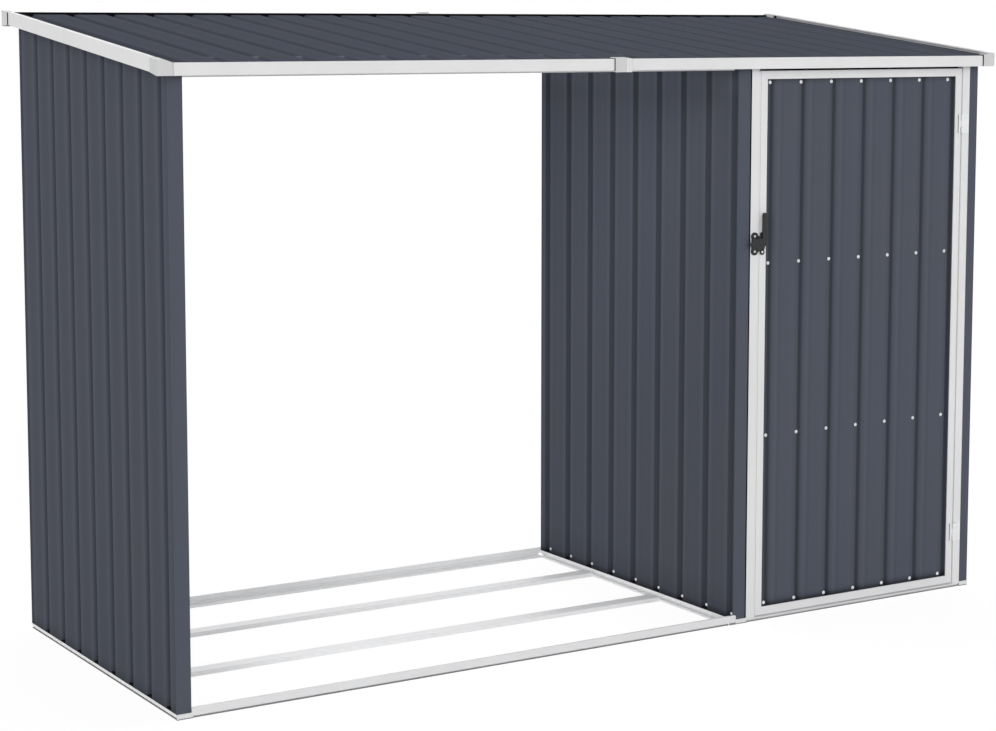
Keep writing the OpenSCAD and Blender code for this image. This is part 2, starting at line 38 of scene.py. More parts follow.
# Sizes in millimetres, measured from the left wall, the base front and the floor
METRE = 1000
MID_X = 1190.5
MID_Y = 464
BASE_WIDTH = 2 * MID_X
BASE_DEPTH = 928
PARTITION_X = 1565
ROOF_FRONT = 1468
ROOF_FALL = 112 / 980
ROOF_OVER = 26
PANEL_FACE = 2.5
LATCH_FACE = -3
LATCH_Z = 993
HINGE_FACE = -2.2
HINGE_HEIGHTS = (157, 1286)
FLOOR_RAIL_TOP = 11
POST_FEET = ((0, 39.9), (1571.2, 1606), (2351.2, 2381))

# Rolled grooves: their section, and the middle of the first one in each sheet
GROOVE_PITCH = 109.5
GROOVE_MOUTH = 27
GROOVE_FLOOR = 13
GROOVE_DEPTH = 8
WALL_FIRST = 44.8
PARTITION_FIRST = 17.9
BACK_FIRST = 2304
ROOF_FIRST = 33.25
ROOF_FIRST_RIGHT = 1252.75
DOOR_FIRST = 1678.5
DOOR_PITCH = 103.3

# Directions
FRONT = (0, -1, 0)
BACK = (0, 1, 0)
LEFT = (-1, 0, 0)
RIGHT = (1, 0, 0)
UP = (0, 0, 1)
DOWN = (0, 0, -1)


def at(x, y, z):
    """A point in metres in the model's frame from sizes in millimetres."""
    return Vector(((x - MID_X) / METRE, (y - MID_Y) / METRE, z / METRE))


def along(x, y, z):
    """A step in metres from sizes in millimetres."""
    return Vector((x / METRE, y / METRE, z / METRE))


def roof_at(y):
    """Height of the roof sheets' upper side."""
    return ROOF_FRONT + (y + ROOF_OVER) * ROOF_FALL


def put(name, data):
    """Adds one object to the scene."""
    item = bpy.data.objects.new(name, data)
    scene.collection.objects.link(item)
    return item


# Camera: place in metres, heading and pitch in degrees
CAMERA_PLACE = (-3.15962, -5.03818, 1.54359)
CAMERA_HEADING = 31.6076
CAMERA_PITCH = 6.1299
CAMERA_SENSOR = 36
CAMERA_LENS = 81.634
CAMERA_SHIFT = -0.095
CAMERA_REACH = 1000
camera_data = bpy.data.cameras.new("camera")
camera_data.sensor_width = CAMERA_SENSOR
camera_data.lens = CAMERA_LENS
camera_data.shift_y = CAMERA_SHIFT
camera_data.clip_end = CAMERA_REACH
camera = put("camera", camera_data)
camera.location = CAMERA_PLACE
camera.rotation_euler = (math.radians(90 - CAMERA_PITCH), 0, math.radians(-CAMERA_HEADING))
scene.camera = camera


def screen(r, g, b):
    """A colour written as it looks on screen, from 0 to 255."""
    def linear(v):
        v = v / 255
        return v / 12.92 if v <= 0.04045 else ((v + 0.055) / 1.055) ** 2.4
    return (linear(r), linear(g), linear(b), 1)


class Nodes:
    """A short way to add and link shader nodes."""

    def __init__(self, tree):
        self.tree = tree

    def link(self, source, target):
        self.tree.links.new(source, target)

    def fill(self, socket, value):
        """Links a socket to another node's output, or sets it to a plain value."""
        if isinstance(value, bpy.types.NodeSocket):
            self.link(value, socket)
        elif value is not None:
            socket.default_value = value

    def add(self, kind, inputs=None, **settings):
        node = self.tree.nodes.new(kind)
        for name, value in settings.items():
            setattr(node, name, value)
        for name, value in (inputs or {}).items():
            self.fill(node.inputs[name], value)
        return node

    def math(self, operation, a, b=None):
        node = self.add("ShaderNodeMath", operation=operation)
        for socket, value in zip(node.inputs, (a, b)):
            self.fill(socket, value)
        return node.outputs[0]

    def mix(self, blend, factor, a, b):
        node = self.add("ShaderNodeMix", data_type="RGBA", blend_type=blend)
        colours = [socket for socket in node.inputs if socket.type == "RGBA"]
        for socket, value in zip([node.inputs["Factor"]] + colours, (factor, a, b)):
            self.fill(socket, value)
        return [socket for socket in node.outputs if socket.type == "RGBA"][0]

    def ramp(self, factor, stops):
        """Grey levels at places from 0 to 1, in rising order, eased between them."""
        node = self.add("ShaderNodeValToRGB", {"Fac": factor})
        node.color_ramp.interpolation = "EASE"
        elements = node.color_ramp.elements
        while len(elements) < len(stops):
            elements.new(0.5)
        for element, (place, value) in zip(elements, stops):
            element.position = place
            element.color = (value, value, value, 1)
        return node.outputs["Color"]

    def either(self, factor, first, second):
        """The first shader where factor is 0, the second where it is 1."""
        node = self.add("ShaderNodeMixShader", {"Fac": factor})
        self.link(first.outputs[0], node.inputs[1])
        self.link(second.outputs[0], node.inputs[2])
        return node

    def end(self, kind, shader):
        """The tree's output node."""
        self.link(shader.outputs[0], self.add(kind).inputs["Surface"])


def new_material(name):
    material = bpy.data.materials.new(name)
    material.use_nodes = True
    material.node_tree.nodes.clear()
    return material, Nodes(material.node_tree)


def seen_directly(nodes):
    """1 for what is seen itself, in gloss or through glass, and 0 for the light that it gives."""
    path = nodes.add("ShaderNodeLightPath")
    first = nodes.math("MAXIMUM", path.outputs["Is Camera Ray"], path.outputs["Is Glossy Ray"])
    return nodes.math("MAXIMUM", first, path.outputs["Is Transmission Ray"])


# World: even light, white where it is seen
WHITE = (1, 1, 1, 1)
SKY_LOW = 0.1
SKY_HIGH = 0.9
LIGHT_HORIZON = 0.55
LIGHT_ZENITH = 0.52
world = bpy.data.worlds.new("studio")
scene.world = world
world.use_nodes = True
world.node_tree.nodes.clear()
wn = Nodes(world.node_tree)
sky_place = wn.add("ShaderNodeTexCoord").outputs["Generated"]
sky_height = wn.add("ShaderNodeSeparateXYZ", {"Vector": sky_place}).outputs["Z"]
sky_level = wn.add("ShaderNodeMapRange", {"Value": sky_height, "From Min": SKY_LOW, "From Max": SKY_HIGH,
                                          "To Min": LIGHT_HORIZON, "To Max": LIGHT_ZENITH})
light_side = wn.add("ShaderNodeBackground", {"Color": WHITE, "Strength": sky_level.outputs[0]})
seen_side = wn.add("ShaderNodeBackground", {"Color": WHITE, "Strength": 1.0})
wn.end("ShaderNodeOutputWorld", wn.either(seen_directly(wn), light_side, seen_side))


def lamp(name, towards, level, spread):
    """A soft sun; towards points at it, and spread is in degrees."""
    data = bpy.data.lights.new(name, "SUN")
    data.energy = math.pi * level
    data.angle = math.radians(spread)
    put(name, data).rotation_euler = Vector(towards).to_track_quat("Z", "Y").to_euler()


def panel(name, place, towards, width, depth, energy):
    """A soft panel of light that isn't seen itself; towards is where it shines, sizes are in metres."""
    data = bpy.data.lights.new(name, "AREA")
    data.shape = "RECTANGLE"
    data.size = width
    data.size_y = depth
    data.energy = energy
    item = put(name, data)
    item.location = place
    item.rotation_euler = Vector(towards).to_track_quat("-Z", "Y").to_euler()
    item.visible_camera = False
    item.visible_glossy = False


# Suns round the store, a panel under the bay's roof and one over the bay's floor, behind the front rail
lamp("lamp_left", towards=(-0.74, -0.64, 0.20), level=0.44, spread=36)
lamp("lamp_front", towards=(0.05, -0.97, 0.24), level=0.12, spread=40)
lamp("lamp_right", towards=(0.95, -0.05, 0.30), level=0.26, spread=40)
lamp("lamp_back", towards=(0.15, 0.80, 0.55), level=0.32, spread=60)
panel("lamp_bay", at(800, MID_Y, 1480), towards=DOWN, width=1.3, depth=0.75, energy=4.2)
panel("lamp_rails", at(330, 50, 380), towards=(0, 0.84, -0.54), width=0.6, depth=0.1, energy=0.3)

# Floor: white, with a pale shadow
FLOOR_RADIUS = 90
FLOOR_SIDES = 96
FLOOR_COLOUR = (0.88, 0.88, 0.88, 1)
FLOOR_GLOW = 1.06
FLOOR_WHITE_SHARE = 0.86
floor_material, fn = new_material("floor_white")
floor_lit = fn.add("ShaderNodeBsdfDiffuse", {"Color": FLOOR_COLOUR})
floor_glow = fn.add("ShaderNodeEmission", {"Color": WHITE, "Strength": FLOOR_GLOW})
floor_share = fn.math("MULTIPLY", seen_directly(fn), FLOOR_WHITE_SHARE)
fn.end("ShaderNodeOutputMaterial", fn.either(floor_share, floor_lit, floor_glow))
floor_mesh = bpy.data.meshes.new("floor")
floor_bm = bmesh.new()
bmesh.ops.create_circle(floor_bm, cap_ends=True, segments=FLOOR_SIDES, radius=FLOOR_RADIUS)
floor_bm.to_mesh(floor_mesh)
floor_bm.free()
floor_mesh.materials.append(floor_material)
floor = put("floor", floor_mesh)

# Settings that all surfaces share
CLOUDS = {"Scale": 7, "Detail": 4, "Roughness": 0.55}
CLOUD_STEP = {"From Min": 0.3, "From Max": 0.7}
ROUGH_STEP = {"From Min": 0.2, "From Max": 0.8}
ROUGH_SPREAD = 0.06
GRAIN = {"Detail": 3, "Roughness": 0.6}
GRAIN_HEIGHT = 0.0004
EDGE_SAMPLES = 4


def surface(name, tones, rough, specular, grain, grain_scale, streak=1, edge=0, shade=None):
    """Painted or moulded surface: two close tones in clouds, fine grain and soft edges.

    A streak under 1 draws the clouds out upwards, edge is a radius in metres, and shade builds a
    grey level that multiplies the tones: painted shade and painted light on the sheets and rails, bands of
    tone on the connectors.
    """
    material, n = new_material(name)
    place = n.add("ShaderNodeTexCoord").outputs["Object"]
    stretch = n.add("ShaderNodeMapping", {"Vector": place, "Scale": (1, 1, streak)})
    clouds = n.add("ShaderNodeTexNoise", {"Vector": stretch.outputs[0], **CLOUDS})
    cloud_step = n.add("ShaderNodeMapRange", {"Value": clouds.outputs[0], **CLOUD_STEP})
    colour, other = tones
    tone = n.mix("MIX", cloud_step.outputs[0], screen(*colour), screen(*other))
    if shade:
        tone = n.mix("MULTIPLY", 1.0, tone, shade(n, place))
    fine = n.add("ShaderNodeTexNoise", {"Vector": place, "Scale": grain_scale, **GRAIN})
    rough_map = n.add("ShaderNodeMapRange", {"Value": clouds.outputs[0], **ROUGH_STEP,
                                             "To Min": rough - ROUGH_SPREAD, "To Max": rough + ROUGH_SPREAD})
    bump = n.add("ShaderNodeBump", {"Strength": grain, "Distance": GRAIN_HEIGHT, "Height": fine.outputs[0]})
    if edge:
        rounded = n.add("ShaderNodeBevel", {"Radius": edge}, samples=EDGE_SAMPLES)
        n.link(rounded.outputs[0], bump.inputs["Normal"])
    shader = n.add("ShaderNodeBsdfPrincipled", {"Base Color": tone, "Roughness": rough_map.outputs[0],
                                                "Specular IOR Level": specular, "Normal": bump.outputs[0]})
    n.end("ShaderNodeOutputMaterial", shader)
    return material


# Painted shade and painted light: stops are (place in millimetres, grey level) pairs, where a level under 1
# paints shade and one over 1 paints light
HEIGHT_SPAN = 2000
HALF_PITCH = 0.5
MIDDLE = {"X": MID_X, "Y": MID_Y}


def height_painted_ramp(n, height, stops):
    """Grey level of painted shade or painted light at a height above the floor."""
    level = n.math("DIVIDE", height, HEIGHT_SPAN / METRE)
    return n.ramp(level, [(z / HEIGHT_SPAN, value) for z, value in stops])


def groove_painted_shade(axis, first, pitch, stops, height=None):
    """Painted shade and painted light by the distance from the nearest groove, and by height where stops are
    given for it.
    """
    def build(n, place):
        split = n.add("ShaderNodeSeparateXYZ", {"Vector": place})
        start = (first - MIDDLE[axis]) / METRE
        steps = n.math("DIVIDE", n.math("SUBTRACT", split.outputs[axis], start), pitch / METRE)
        share = n.math("FRACT", n.math("ADD", steps, HALF_PITCH))
        shade = n.ramp(share, [(HALF_PITCH + mm / pitch, value) for mm, value in stops])
        if height:
            shade = n.mix("MULTIPLY", 1.0, shade, height_painted_ramp(n, split.outputs["Z"], height))
        return shade
    return build


def band_shade(start, end, stops):
    """Shade in bands along x."""
    def build(n, place):
        split = n.add("ShaderNodeSeparateXYZ", {"Vector": place})
        run = n.math("SUBTRACT", split.outputs["X"], (start - MID_X) / METRE)
        share = n.math("DIVIDE", run, (end - start) / METRE)
        return n.ramp(share, [((x - start) / (end - start), value) for x, value in stops])
    return build


def height_painted_shade(stops):
    """Painted shade by height above the floor."""
    def build(n, place):
        split = n.add("ShaderNodeSeparateXYZ", {"Vector": place})
        return height_painted_ramp(n, split.outputs["Z"], stops)
    return build


def both_sides(stops):
    """Stops from the middle of a groove outwards, mirrored to its other side."""
    return [(-mm, value) for mm, value in reversed(stops) if mm] + stops


# Painted shade across each groove and its shoulders, and on the roof and the door a painted highlight on the
# groove's far side
WALL_PAINTED_SHADE = both_sides([(0, 0.58), (8, 0.62), (13.5, 0.93), (18, 1.0), (27, 0.94), (40, 0.86), (54, 0.86)])
BAY_PAINTED_SHADE = both_sides([(0, 0.6), (12.4, 0.62), (14, 1.0), (20, 0.98), (34, 0.88), (54, 0.9)])
ROOF_PAINTED_SHADE_AND_HIGHLIGHT = both_sides([(0, 0.68), (7, 0.72), (14, 0.98), (22, 1.02), (40, 0.98), (54, 0.97)])
DOOR_PAINTED_SHADE_AND_HIGHLIGHT = [(-51, 0.97), (-30, 1.0), (-22, 0.92), (-14, 0.82), (-8, 0.68), (-2, 0.56), (2, 0.56),
              (6, 0.85), (10, 1.05), (19, 1.05), (25, 0.93), (29, 0.9), (36, 0.98), (51, 0.97)]
# Painted shade at the sheets' feet and at the door sheet's top, painted light at the top of the partition
# under the roof, and painted shade on the floor rails' tops
WALL_PAINTED_FOOT_SHADE = [(13, 0.55), (20, 0.8), (45, 1.0)]
BAY_PAINTED_FOOT_SHADE_TOP_LIGHT = [(13, 0.3), (20, 0.4), (28, 0.78), (60, 0.92), (110, 1.0),
              (1360, 1.0), (1430, 1.3), (1480, 1.9)]
DOOR_PAINTED_FOOT_TOP_SHADE = [(36, 0.25), (42, 0.5), (50, 0.92), (60, 1.0), (1400, 1.0), (1410, 0.85), (1415, 0.6)]
FLOOR_RAIL_PAINTED_TOP_SHADE = [(FLOOR_RAIL_TOP - 1.2, 1.0), (FLOOR_RAIL_TOP - 0.4, 0.91)]
CONNECTOR_BODY = 1166
CONNECTOR_ENDS = (1152, 1216)
CONNECTOR_BANDS = [(1152, 1.0), (1162, 1.0), (1164, 0.82), (1197, 0.83), (1198.3, 0.7),
                   (1199.6, 1.0), (1205, 1.0), (1206.4, 0.82), (1207.8, 1.0)]

# Finishes: two close tones each, with the settings of their kind
DARK_TONES = ((80, 84, 95), (82, 85, 94))
DARK_PAINT = {"grain": 0.25, "grain_scale": 900, "streak": 0.25}
LIGHT_PAINT = {"rough": 0.45, "specular": 0.2, "grain": 0.2, "grain_scale": 900,
               "streak": 0.4, "edge": 0.0012}
BARE_STEEL = {"rough": 0.4, "specular": 0.3, "grain": 0.2, "grain_scale": 900, "edge": 0.0008}
ZINC = {"rough": 0.35, "specular": 0.5, "grain": 0.3, "grain_scale": 2500}
PLASTIC = {"rough": 0.5, "specular": 0.25, "grain": 0.35, "grain_scale": 1400, "edge": 0.0015}
BLACK_PLASTIC = {"rough": 0.45, "specular": 0.3, "grain": 0.4, "grain_scale": 1400, "edge": 0.001}
SEAM = {"rough": 0.7, "specular": 0.05, "grain": 0.3, "grain_scale": 1400}
RUBBER = {"rough": 0.8, "grain": 0.5, "grain_scale": 1800}


def sheet(name, axis, first, pitch, stops, height=None, specular=0.02):
    """Dark rolled sheet with painted shade along its grooves, painted highlights on the door and roof, and
    painted shade and light by height where stops are given.
    """
    shade = groove_painted_shade(axis, first, pitch, stops, height)
    return surface(name, DARK_TONES, rough=0.75, specular=specular, shade=shade, **DARK_PAINT)


steel_dark = surface("steel_dark", DARK_TONES, rough=0.7, specular=0.03, **DARK_PAINT)
wall_sheet = sheet("wall_sheet", "Y", WALL_FIRST, GROOVE_PITCH, WALL_PAINTED_SHADE, WALL_PAINTED_FOOT_SHADE)
bay_sheet = sheet("bay_sheet", "Y", PARTITION_FIRST, GROOVE_PITCH, BAY_PAINTED_SHADE, BAY_PAINTED_FOOT_SHADE_TOP_LIGHT)
back_sheet = sheet("back_sheet", "X", BACK_FIRST, GROOVE_PITCH, WALL_PAINTED_SHADE, WALL_PAINTED_FOOT_SHADE)
roof_left = sheet("roof_left", "X", ROOF_FIRST, GROOVE_PITCH, ROOF_PAINTED_SHADE_AND_HIGHLIGHT, specular=0.0)
roof_right = sheet("roof_right", "X", ROOF_FIRST_RIGHT, GROOVE_PITCH, ROOF_PAINTED_SHADE_AND_HIGHLIGHT, specular=0.0)
door_sheet = sheet("door_sheet", "X", DOOR_FIRST, DOOR_PITCH, DOOR_PAINTED_SHADE_AND_HIGHLIGHT, DOOR_PAINTED_FOOT_TOP_SHADE)
steel_light = surface("steel_light", ((217, 217, 218), (222, 222, 223)), **LIGHT_PAINT)
# A lighter copy of the light paint, painted light for the bay's floor rails in the roof's shade; their tops
# are darkened back, painted shade
floor_rail_painted_light_and_shade = surface("floor_rail_painted_light_and_shade", ((236, 236, 237), (239, 239, 240)),
                           shade=height_painted_shade(FLOOR_RAIL_PAINTED_TOP_SHADE), **LIGHT_PAINT)
# Darker grey for the sill's stop strip, painted shade of the gap under the door
gap_painted_shade_grey = surface("gap_painted_shade_grey", ((172, 172, 174), (182, 182, 184)), **SEAM)
# A lighter copy of the light paint for the bay's and the walls' rails, painted light for the shade they stand
# in
rail_painted_light = surface("rail_painted_light", ((236, 236, 237), (241, 241, 242)), **LIGHT_PAINT)
hinge_steel = surface("hinge_steel", ((226, 226, 227), (232, 232, 233)), **BARE_STEEL)
cap_grey = surface("cap_grey", ((198, 198, 199), (204, 204, 205)), **PLASTIC)
connector_grey = surface("connector_grey", ((216, 216, 217), (221, 221, 222)),
                         shade=band_shade(*CONNECTOR_ENDS, CONNECTOR_BANDS), **PLASTIC)
latch_black = surface("latch_black", ((30, 31, 33), (37, 38, 40)), **BLACK_PLASTIC)
# Black for the foam closure along the roof's back edge, and painted shadow in gaps and at groove feet
rubber_and_shadow_black = surface("rubber_and_shadow_black", ((14, 14, 16), (20, 20, 22)), specular=0.02, **RUBBER)
# Grey for painted shadow on the floor under the rails' toes
toe_shadow_grey = surface("toe_shadow_grey", ((128, 128, 130), (140, 140, 142)), specular=0.05, **RUBBER)
screw_zinc = surface("screw_zinc", ((206, 208, 210), (226, 227, 228)), **ZINC)

# Nodes that aren't named here are light painted steel
FINISHES = {
    "left_wall": wall_sheet, "partition_wall": bay_sheet, "right_wall": wall_sheet, "back_wall": back_sheet,
    "roof_sheet_left": roof_left, "roof_sheet_right": roof_right, "door_panel": door_sheet,
    "left_posts": steel_dark, "partition_posts": steel_dark, "right_posts": steel_dark,
    "bay_floor_rails": floor_rail_painted_light_and_shade, "bay_back_rail": rail_painted_light, "bay_side_rail": rail_painted_light,
    "partition_rail": rail_painted_light, "left_rail": rail_painted_light, "right_rail": rail_painted_light,
    "corner_caps": cap_grey, "trim_connectors": connector_grey,
    "latch_keeper": latch_black, "latch_base": latch_black, "latch_lever": latch_black,
    "hinge_frame_leaves": hinge_steel, "hinge_door_leaves": hinge_steel,
}
for node_name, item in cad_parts.items():
    finish = FINISHES.get(node_name, steel_light)
    if not item.material_slots:
        item.data.materials.append(finish)
    for material_slot in item.material_slots:
        material_slot.material = finish


def piece(name, build, material, body, smooth=False):
    """Makes a piece with its build function and fixes it to a body."""
    bm = bmesh.new()
    build(bm)
    bmesh.ops.recalc_face_normals(bm, faces=bm.faces)
    mesh = bpy.data.meshes.new(name)
    bm.to_mesh(mesh)
    bm.free()
    mesh.materials.append(material)
    for face in mesh.polygons:
        face.use_smooth = smooth
    item = put(name, mesh)
    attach(item, body)


def lathe(bm, origin, axis, profile, segments=16):
    """Turns (radius, height) pairs in millimetres about an axis through origin."""
    axis = Vector(axis).normalized()
    side = axis.orthogonal().normalized()
    other = axis.cross(side)
    rings = []
    for radius, height in profile:
        ring = []
        for k in range(segments):
            angle = 2 * math.pi * k / segments
            offset = (side * math.cos(angle) + other * math.sin(angle)) * radius + axis * height
            ring.append(bm.verts.new(origin + offset / METRE))
        rings.append(ring)
    for lower, upper in zip(rings, rings[1:]):
        for k in range(segments):
            after = (k + 1) % segments
            bm.faces.new((lower[k], lower[after], upper[after], upper[k]))
    bm.faces.new(rings[-1])


def prism(bm, outline, run):
    """Closed outline of points, run along a vector."""
    first = [bm.verts.new(point) for point in outline]
    last = [bm.verts.new(point + run) for point in outline]
    count = len(outline)
    for k in range(count):
        after = (k + 1) % count
        bm.faces.new((first[k], first[after], last[after], last[k]))
    bm.faces.new(first)
    bm.faces.new(last)


def bar(bm, x, y, z, edge=0.2):
    """A strip with bevelled upright edges; x, y and z are its ranges."""
    x1, x2 = x
    y1, y2 = y
    z1, z2 = z
    outline = [(x1 + edge, y1), (x2 - edge, y1), (x2, y1 + edge), (x2, y2 - edge),
               (x2 - edge, y2), (x1 + edge, y2), (x1, y2 - edge), (x1, y1 + edge)]
    prism(bm, [at(px, py, z1) for px, py in outline], along(0, 0, z2 - z1))


# Washer-head screw with a domed head and a drive recess: radius and height as shares of the washer's radius
SCREW_SHAPE = ((1.0, -0.05), (1.0, 0.12), (0.9, 0.2), (0.66, 0.24), (0.62, 0.46),
               (0.5, 0.6), (0.3, 0.66), (0.24, 0.62), (0.2, 0.42))


def screw(bm, origin, axis, radius):
    lathe(bm, origin, axis, [(r * radius, h * radius) for r, h in SCREW_SHAPE])


# Screws on the door panel: columns beside the grooves, rows at the rails
DOOR_SCREW_COLUMNS = 7
DOOR_SCREW_FIRST = 1665.6
DOOR_SCREW_PITCH = 101.3
DOOR_SCREW_ROWS = (45, 490, 941, 1406)


def door_screws(bm):
    for k in range(DOOR_SCREW_COLUMNS):
        for z in DOOR_SCREW_ROWS:
            screw(bm, at(DOOR_SCREW_FIRST + DOOR_SCREW_PITCH * k, PANEL_FACE, z), FRONT, radius=4.6)


piece("door_screws", door_screws, screw_zinc, "door", smooth=True)

# Screws along the foot of the partition and of the back wall
FOOT_SCREW_Z = 27.5
PARTITION_SCREWS = 9
PARTITION_SCREW_FIRST = 8
PARTITION_SCREW_PITCH = 108.2
BACK_SCREWS = 6


def partition_screws(bm):
    for k in range(PARTITION_SCREWS):
        y = PARTITION_SCREW_FIRST + PARTITION_SCREW_PITCH * k
        screw(bm, at(PARTITION_X, y, FOOT_SCREW_Z), LEFT, radius=4.1)


def back_screws(bm):
    for k in range(BACK_SCREWS):
        x = BACK_FIRST - GROOVE_PITCH * (k + HALF_PITCH)
        screw(bm, at(x, BASE_DEPTH, FOOT_SCREW_Z), BACK, radius=4.4)


piece("partition_screws", partition_screws, screw_zinc, "store", smooth=True)
piece("back_screws", back_screws, screw_zinc, "store", smooth=True)

# Screws of the latch and the hinges
KEEPER_X = 1618.25
KEEPER_SCREW_RISE = 19.5
LATCH_X = 1643
LATCH_SCREW_RISE = 22
HINGE_SCREW_X = 2341
HINGE_SCREW_RISE = 15


def keeper_screws(bm):
    for rise in (-KEEPER_SCREW_RISE, KEEPER_SCREW_RISE):
        screw(bm, at(KEEPER_X, LATCH_FACE, LATCH_Z + rise), FRONT, radius=3.2)


def latch_screws(bm):
    screw(bm, at(LATCH_X, LATCH_FACE, LATCH_Z - LATCH_SCREW_RISE), FRONT, radius=3.2)


def latch_dark_screw(bm):
    screw(bm, at(LATCH_X, LATCH_FACE, LATCH_Z + LATCH_SCREW_RISE), FRONT, radius=3.0)


def hinge_screws(bm):
    for z in HINGE_HEIGHTS:
        for rise in (-HINGE_SCREW_RISE, HINGE_SCREW_RISE):
            screw(bm, at(HINGE_SCREW_X, HINGE_FACE, z + rise), FRONT, radius=2.6)


piece("keeper_screws", keeper_screws, screw_zinc, "store", smooth=True)
piece("latch_screws", latch_screws, screw_zinc, "door", smooth=True)
piece("latch_dark_screw", latch_dark_screw, latch_black, "door", smooth=True)
piece("hinge_screws", hinge_screws, hinge_steel, "store", smooth=True)

# Black plate that closes the notch between the keeper and the latch base
KEEPER_PLATE_X = (1624.8, 1634.8)
KEEPER_PLATE_Y = (-2.6, -0.1)
KEEPER_PLATE_RISE = 20.5


def keeper_plate(bm):
    height = (LATCH_Z - KEEPER_PLATE_RISE, LATCH_Z + KEEPER_PLATE_RISE)
    bar(bm, KEEPER_PLATE_X, KEEPER_PLATE_Y, height, edge=0.4)


piece("keeper_plate", keeper_plate, latch_black, "store")

# Stop strips in the gap round the door, fixed to the jambs and the sill; the sill's strip is a darker grey,
# painted shade of that gap
STOP_BACK = 20
STOP_LOW = 9
STOP_TOP = 1435
LATCH_STOP_X = (1630.5, 1634.8)
LATCH_STOP_FRONT = 0.3
HINGE_STOP_X = (2324.6, 2327.5)
HINGE_STOP_FRONT = 4
SILL_STOP_X = (1635, 2324)
SILL_STOP_FRONT = 2.5
SILL_STOP_TOP = 13.4


def door_stops(bm):
    bar(bm, LATCH_STOP_X, (LATCH_STOP_FRONT, STOP_BACK), (STOP_LOW, STOP_TOP))
    bar(bm, HINGE_STOP_X, (HINGE_STOP_FRONT, STOP_BACK), (STOP_LOW, STOP_TOP), edge=0.6)


def sill_stop(bm):
    bar(bm, SILL_STOP_X, (SILL_STOP_FRONT, STOP_BACK), (STOP_LOW, SILL_STOP_TOP))


piece("door_stops", door_stops, steel_light, "store")
piece("sill_stop", sill_stop, gap_painted_shade_grey, "store")

# Plates that close the rail ends under the front posts
FOOT_PLATE_Y = (-2.2, -0.1)
FOOT_PLATE_Z = (2.4, 12.8)


def post_foot_plates(bm):
    for foot in POST_FEET:
        bar(bm, foot, FOOT_PLATE_Y, FOOT_PLATE_Z, edge=0.3)


piece("post_foot_plates", post_foot_plates, steel_light, "store")

# Black plugs at the feet of the wall grooves, painted shade where the grooves meet the rails: (depth, place
# along the wall) pairs, a little inside the groove
PLUG_LOW = 13.05
PLUG_UP = 5
PLUG_FACE = 0.3
PLUG_DEPTH = GROOVE_DEPTH - 0.4
PLUG_HALF_MOUTH = GROOVE_MOUTH / 2 - 0.6
PLUG_HALF_FLOOR = GROOVE_FLOOR / 2 - 0.3
PLUG_SHAPE = ((PLUG_FACE, -PLUG_HALF_MOUTH), (PLUG_DEPTH, -PLUG_HALF_FLOOR),
              (PLUG_DEPTH, PLUG_HALF_FLOOR), (PLUG_FACE, PLUG_HALF_MOUTH))
WALL_GROOVES = 8
PARTITION_GROOVES = 9
BACK_GROOVES = 7


def plug(bm, x, y, inward):
    """Fills the foot of one groove in black, painted shade; inward points from the wall's face into the
    groove.
    """
    inward = Vector(inward)
    side = inward.cross(Vector(UP))
    foot = at(x, y, PLUG_LOW)
    outline = [foot + (inward * depth + side * offset) / METRE for depth, offset in PLUG_SHAPE]
    prism(bm, outline, along(0, 0, PLUG_UP))


def groove_foot_shadow_plugs(bm):
    for k in range(WALL_GROOVES):
        plug(bm, 0, WALL_FIRST + GROOVE_PITCH * k, RIGHT)
        plug(bm, BASE_WIDTH, WALL_FIRST + GROOVE_PITCH * k, LEFT)
    for k in range(PARTITION_GROOVES):
        plug(bm, PARTITION_X, PARTITION_FIRST + GROOVE_PITCH * k, RIGHT)
    for k in range(BACK_GROOVES):
        plug(bm, BACK_FIRST - GROOVE_PITCH * k, BASE_DEPTH, FRONT)


piece("groove_foot_shadow_plugs", groove_foot_shadow_plugs, rubber_and_shadow_black, "store")

# Grey strips on the floor under the set-back toes of the outer rails and under the foot plates: painted
# shadow where they meet the floor
TOE_NEAR = 0.8
TOE_FAR = 3.9
FRONT_TOES_X = ((40, 1551), (1606, 2351))
SIDE_TOES_X = ((TOE_NEAR, TOE_FAR), (BASE_WIDTH - TOE_FAR, BASE_WIDTH - TOE_NEAR))
SIDE_TOES_Y = (1, BASE_DEPTH - 1)
STRIP_LOW = 0.1
STRIP_TOP = 2.2
STRIP_EDGE = 0.3
PLATE_STRIP_Y = (-1.9, -0.3)
PLATE_STRIP_TOP = 2.3
PARTITION_STRIP_X = (1551, 1571)
PARTITION_STRIP_TOP = 5.4


def toe_shadow_strips(bm):
    for toe in FRONT_TOES_X:
        bar(bm, toe, (TOE_NEAR, TOE_FAR), (STRIP_LOW, STRIP_TOP), STRIP_EDGE)
    for foot in POST_FEET:
        bar(bm, foot, PLATE_STRIP_Y, (STRIP_LOW, PLATE_STRIP_TOP), STRIP_EDGE)
    bar(bm, PARTITION_STRIP_X, PLATE_STRIP_Y, (STRIP_LOW, PARTITION_STRIP_TOP), STRIP_EDGE)
    for toe in SIDE_TOES_X:
        bar(bm, toe, SIDE_TOES_Y, (STRIP_LOW, STRIP_TOP), STRIP_EDGE)


piece("toe_shadow_strips", toe_shadow_strips, toe_shadow_grey, "store")

